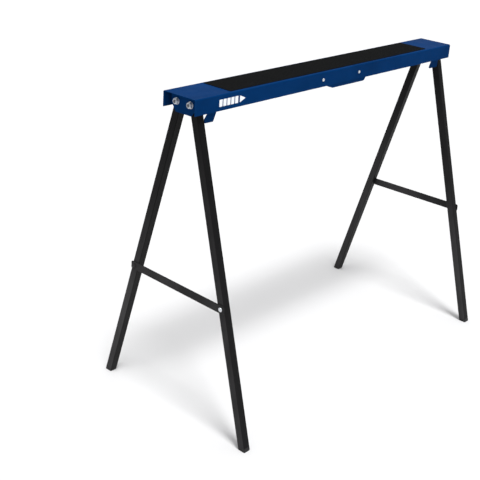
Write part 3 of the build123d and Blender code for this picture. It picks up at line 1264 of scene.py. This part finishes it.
@dataclass
class LegBolts:
    """The two leg bolts of one end, with their washers, lock nuts, nylon rings and spacers."""

    palette: Palette
    bracket: LegBracket
    across_flats: float = 0.013
    chamfer: float = 28.0
    face_share: float = 0.97
    hexagon_steps: int = 72
    head: float = 0.0053
    tube_half: float = 0.010
    washer: float = 0.0014
    nut: float = 0.0046
    tail: float = 0.0025
    radius: float = 0.004
    tip_radius: float = 0.0032
    thread_pitch: float = 0.00125
    thread_depth: float = 0.0006
    thread_play: float = 0.00005
    thread_steps: int = 36
    rolls: tuple[float, float] = (11.0, 24.0)

    def hexagon(self, low: float, high: float, chamfered_low: bool = True) -> Mesh:
        """A hexagon along X with its corners turned off at its high end.

        Args:
            low: where it starts.
            high: where it ends.
            chamfered_low: whether the corners are turned off at the low end too.

        Returns:
            The mesh.
        """
        flat, slope = self.across_flats / 2, math.tan(math.radians(self.chamfer))
        face = flat * self.face_share
        angles = [FULL_TURN * k / self.hexagon_steps for k in range(self.hexagon_steps)]
        reaches = [flat / math.cos(a % (math.pi / 3) - math.pi / 6) for a in angles]

        def ring(x: float, at_face: bool, slant: float) -> list[Point3]:
            """Points round the axis.

            Args:
                x: where the ring stands.
                at_face: whether it is the face's circle, and not the hexagon.
                slant: how steeply the hexagon's corners are drawn back.

            Returns:
                The points.
            """
            points = []
            for a, reach in zip(angles, reaches):
                r = face if at_face else reach
                shift = 0.0 if at_face else slant * (reach - face)
                points.append((x + shift, r * math.cos(a + QUARTER), r * math.sin(a + QUARTER)))
            return points

        rings = [ring(low, True, 0.0)] if chamfered_low else []
        rings += [ring(low, False, slope if chamfered_low else 0.0)]
        rings += [ring(high, False, -slope), ring(high, True, 0.0)]
        return loft(rings)

    def threaded(self, low: float, high: float) -> Mesh:
        """A length of thread along X, with a chamfered end at low.

        Args:
            low: the outer end.
            high: the inner end.

        Returns:
            The mesh.
        """
        steps, pitch = self.thread_steps, self.thread_pitch
        count = max(4, round((high - low) / pitch * 8))
        rings = []
        for station in range(count + 1):
            x = low + (high - low) * station / count
            ring = []
            for k in range(steps):
                crest = 1 - abs(2 * ((x / pitch + k / steps) % 1.0) - 1)
                thread = self.radius - self.thread_play - self.thread_depth * (1 - crest)
                r, a = min(thread, self.tip_radius + (x - low)), FULL_TURN * k / steps
                ring.append((x, r * math.cos(a), r * math.sin(a)))
            rings.append(ring)
        return loft(rings)

    def parts(self) -> dict[str, list[Mesh]]:
        """The meshes of one bolt's set, drawn along X.

        Returns:
            Meshes by the name of the piece that they go into.
        """
        face = -self.bracket.web_out
        nut_base = face - self.washer
        rim = nut_base - self.nut
        head_face = -(abs(self.bracket.end.bolt.x) - self.tube_half - self.bracket.gap)
        inside, thin = nut_base + 0.001, self.radius - 0.0001
        shank = lathe([(inside, 0.0), (inside, thin), (head_face, self.radius), (head_face, 0.0)], 36)
        seated = ((face, WASHER), (rim, NUT_COLLAR), (rim, NYLON_RING), (face + self.bracket.sheet, SPACER))
        washer, collar, nylon, spacer = (lathe([(x + dx, r) for dx, r in section]) for x, section in seated)
        return {
            "leg_bolt_pair": [shank, self.hexagon(head_face, head_face + self.head, False)],
            "bolt_threads": [self.threaded(rim - self.tail, nut_base)],
            "washer_pair": [washer],
            "lock_nut_pair": [self.hexagon(rim, nut_base), collar],
            "nylon_rings": [nylon],
            "spacer_pair": [spacer],
        }

    def build(self) -> None:
        """Make both bolts' sets."""
        end, side = self.bracket.end, self.bracket.end.side.value
        groups: dict[str, list[Mesh]] = {}
        for y, roll in zip((-abs(end.bolt.y), abs(end.bolt.y)), self.rolls):
            at = Matrix.Translation((0, y, end.bolt.z)) @ Matrix.Rotation(math.radians(roll), 4, "X")
            for name, meshes in self.parts().items():
                for mesh in meshes:
                    mesh.transform(at)
                groups[name] = groups.get(name, []) + meshes
        zinc = self.palette.zinc
        stands = {
            "leg_bolt_pair": (zinc, ("leg_bolts",)),
            "bolt_threads": (self.palette.steel_end, ()),
            "washer_pair": (zinc, ("leg_washers",)),
            "lock_nut_pair": (zinc, ("lock_nuts",)),
            "nylon_rings": (self.palette.nylon, ()),
            "spacer_pair": (self.palette.plastic, ("leg_spacers",)),
        }
        for name, (coat, nodes) in stands.items():
            replaces = tuple(f"{node}_{side}" for node in nodes)
            Piece(f"{name}_{side}", self.bracket.body, coat, replaces).make(joined(groups[name]), end.place)


@dataclass
class AFrame:
    """The two legs of one end, with their foot plugs, the brace, its rivet and its hook stud."""

    palette: Palette
    end: EndFrame
    tube: float = 0.020
    wall: float = 0.0012
    corner: float = 0.0020
    mouth_edge: float = 0.0003
    spans: int = 16
    head_room: float = 0.0125
    plug_flange: float = 0.006
    plug_depth: float = 0.018
    plug_edge: float = 0.0005
    sole_rim: tuple[Point2, ...] = ((0.0, 0.0022), (0.0006, 0.0006), (0.0018, 0.0))
    brace_rise: float = 0.0035
    brace_height: float = 0.020
    brace_thick: float = 0.002
    brace_edge: float = 0.0003
    brace_end: float = 0.012
    brace_corner: float = 0.0045
    stud: float = 0.003
    stud_head: float = 0.0055
    stud_rim: float = 0.0005
    stud_dimple: float = 0.0014
    head_height: float = 0.0022
    hole_play: float = 0.00005
    hook_clear: float = 0.0004
    hook_flare: float = 0.8
    hook_chamfer: float = 0.0006
    throat_start: float = 0.002
    throat_corner: float = 0.0008
    gap: float = 0.0003

    def build(self) -> None:
        """Make both legs and what is on them."""
        for leg in Leg:
            self.leg_tube(leg)
            self.foot_plug(leg)
            self.stud_on(leg)
        self.brace()

    @property
    def length(self) -> float:
        """From a bolt down the leg's axis to the floor."""
        return self.end.bolt.z / math.cos(self.end.leg_angle)

    @property
    def bore(self) -> Point2:
        """Width and corner radius of the tube's inside."""
        return self.tube - 2 * self.wall, self.corner - self.wall

    def brace_end_at(self, leg: Leg) -> Point2:
        """Height and distance from the middle of the brace's pivot on a leg.

        Args:
            leg: which leg.

        Returns:
            Y away from the middle, and Z, as drawn.
        """
        z = self.end.brace.z + (self.brace_rise if leg is Leg.HOOKED else 0.0)
        y = abs(self.end.bolt.y) + (self.end.bolt.z - z) * math.tan(self.end.leg_angle)
        return y, z

    def brace_drop(self, leg: Leg) -> float:
        """From a bolt down the leg's axis to the brace's pivot on that leg."""
        return (self.end.bolt.z - self.brace_end_at(leg)[1]) / math.cos(self.end.leg_angle)

    def make(self, names: tuple[str, str], leg: Leg, coat: Coat, mesh: Mesh) -> None:
        """Make a piece that rides with a leg.

        Args:
            names: the piece's name and the CAD node that it stands for.
            leg: which leg.
            coat: its finish.
            mesh: its shape, in the leg's drawing.
        """
        name, node = names
        Piece(name, self.end.leg_body(leg), coat, (node,)).make(mesh, self.end.leg_place(leg))

    def leg_tube(self, leg: Leg) -> None:
        """A square tube, open at its top, with eased mouths.

        Args:
            leg: which leg.
        """
        low, high, ease = -(self.length - self.plug_flange), self.head_room, self.mouth_edge
        bore, bore_corner = self.bore
        rim, mouth = (self.tube - 2 * ease, self.corner - ease), (bore + 2 * ease, bore_corner + ease)
        levels = [low + ease + (high - low - 2 * ease) * k / self.spans for k in range(self.spans + 1)]
        sections = [(low, *rim)] + [(z, self.tube, self.corner) for z in levels]
        sections += [(high, *rim), (high, *mouth), (high - ease, bore, bore_corner)]
        sections += [(low + ease, bore, bore_corner), (low, *mouth)]
        rings = [raised(rounded_box(size, size, radius, 7), z) for z, size, radius in sections]
        which = f"{self.end.leg_word(leg)}_{self.end.side.value}"
        self.make((f"tube_{which}", f"leg_{which}"), leg, self.palette.black, loft(rings, capped=False))

    def foot_plug(self, leg: Leg) -> None:
        """A plastic plug in the tube's end, flush with it, its sole cut level with the floor.

        Args:
            leg: which leg.
        """
        place = self.end.leg_place(leg)
        seam, ease, tube = -(self.length - self.plug_flange), self.plug_edge, self.tube
        bore, bore_corner = self.bore
        top = seam + self.plug_depth
        inside = ((bore - 4 * ease, top), (bore, top - 2 * ease), (bore, seam))
        flange = ((tube - 2 * ease, seam), (tube - 0.3 * ease, seam - 0.5 * ease), (tube, seam - 1.6 * ease))
        rings = [raised(rounded_box(size, size, bore_corner), z) for size, z in inside]
        rings += [raised(rounded_box(size, size, self.corner), z) for size, z in flange]
        for narrower, height in self.sole_rim:
            section = rounded_box(tube - narrower, tube - narrower, self.corner)
            rings.append([self.level(place, x, y, height) for x, y in section])
        which = f"{self.end.leg_word(leg)}_{self.end.side.value}"
        self.make((f"foot_plug_{which}", f"foot_{which}"), leg, self.palette.plastic, loft(rings))

    def level(self, place: Matrix, x: float, y: float, height: float) -> Point3:
        """The point of the leg's drawing at x, y that stands at a height above the floor.

        Args:
            place: the leg's transform.
            x: across the leg, along the beam.
            y: across the leg, across the beam.
            height: the height that the point has in the row's frame.

        Returns:
            The point in the leg's drawing.
        """
        axis = place.to_3x3() @ Vector((0, 0, 1))
        at_zero = place @ Vector((x, y, 0))
        return (x, y, (height - at_zero.z) / axis.z)

    def stud_on(self, leg: Leg) -> None:
        """The headed stud that the brace turns on or hooks over.

        Args:
            leg: which leg.
        """
        hooked, side = leg is Leg.HOOKED, self.end.side.value
        face = -self.tube / 2
        base, inside = face - self.gap - self.brace_thick - self.gap, face + self.wall
        head = DomedHead(self.stud_head, self.head_height, self.stud_rim, self.stud_dimple if hooked else 0.0)
        outline = [(base - x, r) for x, r in reversed(head.profile())]
        outline += [(base, self.stud), (face, self.stud), (inside, self.stud), (inside, 0.0)]
        mesh = turned(outline, (0, 0, -self.brace_drop(leg)))
        if hooked:
            self.make((f"brace_stud_{side}", f"hook_stud_{side}"), leg, self.palette.black, mesh)
        else:
            self.make((f"brace_pivot_{side}", f"brace_rivet_{side}"), leg, self.palette.zinc, mesh)

    def brace(self) -> None:
        """The flat brace, from its rivet to the hook over the stud."""
        low_y, low_z = self.brace_end_at(Leg.RIVETED)
        high_y, high_z = self.brace_end_at(Leg.HOOKED)
        span, tilt = math.hypot(low_y + high_y, high_z - low_z), math.atan2(high_z - low_z, low_y + high_y)
        half, end, c = self.brace_height / 2, self.brace_end, self.brace_corner
        r, chamfer = self.stud + self.hook_clear, self.hook_chamfer
        mouth = span - r - self.hook_flare * half
        throat = [(mouth - self.throat_start, -half), (mouth, -half), (span - r, 0.0), (span - r, 0.0001)]
        outline = arc((c - end, c - half), c, 180, 270, 5)
        outline += [(span * k / 10, -half) for k in range(1, 9)]
        outline += softened_path(throat, self.throat_corner)[:-1]
        outline += arc((span, 0.0), r, 180, 0, 12)
        outline += [(span + r, chamfer - half), (span + r + chamfer, -half)]
        outline += arc((span + end - c, c - half), c, 270, 360, 5)
        outline += arc((span + end - c, half - c), c, 0, 90, 5)
        outline += [(span * k / 10, half) for k in range(9, 0, -1)]
        outline += arc((c - end, half - c), c, 90, 180, 5)
        hole = circle((0.0, 0.0), self.stud + self.hole_play, 24)
        mesh = blank(outline, [hole], self.brace_thick, self.brace_edge)
        outer_face = -(abs(self.end.bolt.x) + self.tube / 2 + self.gap + self.brace_thick)
        upright = Matrix(((0, 0, 1, 0), (1, 0, 0, 0), (0, 1, 0, 0), (0, 0, 0, 1)))
        along = Matrix.Translation((outer_face, -low_y, low_z)) @ Matrix.Rotation(tilt, 4, "X") @ upright
        side = self.end.side.value
        piece = Piece(f"brace_bar_{side}", f"brace_set_{side}", self.palette.black, (f"brace_{side}",))
        piece.make(mesh, self.end.place @ along)


# ---------------------------------------------------------------- the studio


@dataclass
class Studio:
    """Camera, pale floor and soft lights."""

    camera_at: Vector = field(default_factory=lambda: Vector((-1.90519, -1.46146, 1.34833)))
    yaw: float = 0.839539
    pitch: float = 0.411340
    roll: float = -0.062898
    sensor: float = 36.0
    clip: Point2 = (0.05, 60.0)
    focal: float = 72.72
    floor_reach: float = 30.0
    floor_thick: float = 0.02
    key_from: Point3 = (-0.137, -0.308, 0.941)
    key_power: float = 3.15
    key_spread: float = 17.0
    fill_at: Point3 = (-3.2, -0.6, 0.9)
    fill_towards: Point3 = (-0.4, 0.0, 0.35)
    fill_size: float = 1.6
    fill_power: float = 2.0
    low_sky: float = 0.58
    high_sky: float = 0.79

    def build(self) -> None:
        """Set up everything that isn't the sawhorse."""
        self.camera()
        self.floor()
        self.lights()

    def camera(self) -> None:
        """Camera at the viewing angle, with no depth of field."""
        ahead = Vector((math.sin(self.yaw), math.cos(self.yaw), 0.0))
        forward = ahead * math.cos(self.pitch) - Vector((0.0, 0.0, math.sin(self.pitch)))
        level = Vector((math.cos(self.yaw), -math.sin(self.yaw), 0.0))
        down = forward.cross(level)
        right = level * math.cos(self.roll) + down * math.sin(self.roll)
        up = level * math.sin(self.roll) - down * math.cos(self.roll)
        data = bpy.data.cameras.new("camera")
        data.sensor_width = self.sensor
        data.lens = self.focal
        data.clip_start, data.clip_end = self.clip
        camera = bpy.data.objects.new("camera", data)
        turn = Matrix((right, up, -forward)).transposed().to_4x4()
        camera.matrix_world = Matrix.Translation(self.camera_at) @ turn
        bpy.context.scene.collection.objects.link(camera)
        bpy.context.scene.camera = camera

    def floor(self) -> None:
        """A plain pale floor."""
        outline = rounded_box(2 * self.floor_reach, 2 * self.floor_reach, 0.5)
        mesh = loft([raised(outline, z) for z in (-self.floor_thick, 0.0)])
        data = bpy.data.meshes.new("floor")
        mesh.to_mesh(data)
        mesh.free()
        g = Graph("pale_floor")
        tone = g.ranged(g.noise(1.1, 3.0, 0.5), 0.3, 0.7, 0.0, 1.0)
        colour = g.mixed(tone, (0.62, 0.62, 0.625, 1.0), (0.64, 0.64, 0.645, 1.0))
        g.bumps([(g.noise(300.0, 2.0, 0.5), 0.02, 0.0005)])
        data.materials.append(g.finish(colour, 0.85, Specular_IOR_Level=0.1))
        floor = bpy.data.objects.new("floor", data)
        bpy.context.scene.collection.objects.link(floor)

    def lights(self) -> None:
        """A soft key from above, a low fill from the left and a surround that is palest overhead."""
        self.surround()
        key = bpy.data.lights.new("key", "SUN")
        key.energy, key.angle = self.key_power, math.radians(self.key_spread)
        lamp = bpy.data.objects.new("key", key)
        lamp.rotation_euler = Vector(self.key_from).to_track_quat("Z", "Y").to_euler()
        bpy.context.scene.collection.objects.link(lamp)
        self.area("fill", self.fill_at, self.fill_towards, self.fill_size, self.fill_power)
        bpy.context.scene.view_settings.view_transform = "Standard"

    def surround(self) -> None:
        """A white surround that dims towards the horizon."""
        world = bpy.data.worlds.new("surround")
        world.use_nodes = True
        tree = world.node_tree
        place = tree.nodes.new("ShaderNodeTexCoord")
        split = tree.nodes.new("ShaderNodeSeparateXYZ")
        fade = tree.nodes.new("ShaderNodeMapRange")
        for name, value in (("To Min", self.low_sky), ("To Max", self.high_sky)):
            fade.inputs[name].default_value = value
        tree.links.new(place.outputs["Generated"], split.inputs["Vector"])
        tree.links.new(split.outputs["Z"], fade.inputs["Value"])
        tree.links.new(fade.outputs["Result"], tree.nodes["Background"].inputs["Strength"])
        tree.nodes["Background"].inputs["Color"].default_value = (1.0, 1.0, 1.0, 1.0)
        bpy.context.scene.world = world

    def area(self, name: str, at: Point3, towards: Point3, size: float, power: float) -> None:
        """A square area light.

        Args:
            name: the light's name.
            at: where it stands.
            towards: the point that it faces.
            size: its side, in metres.
            power: its power, in watts.
        """
        data = bpy.data.lights.new(name, "AREA")
        data.size = size
        data.energy = power
        light = bpy.data.objects.new(name, data)
        light.location = at
        light.rotation_euler = (Vector(towards) - Vector(at)).to_track_quat("-Z", "Y").to_euler()
        bpy.context.scene.collection.objects.link(light)


def main() -> None:
    """Build the studio, the beam and both ends, in order."""
    logging.basicConfig(level=logging.INFO, format="%(name)s %(message)s")
    palette = Palette.mixed_up()
    Studio().build()
    BeamSet(palette).build()
    SideMark(palette).build()
    for side in Side:
        end = EndFrame(side)
        bracket = LegBracket(palette, end)
        bracket.build()
        LegBolts(palette, bracket).build()
        AFrame(palette, end).build()


if __name__ == "__main__":
    main()
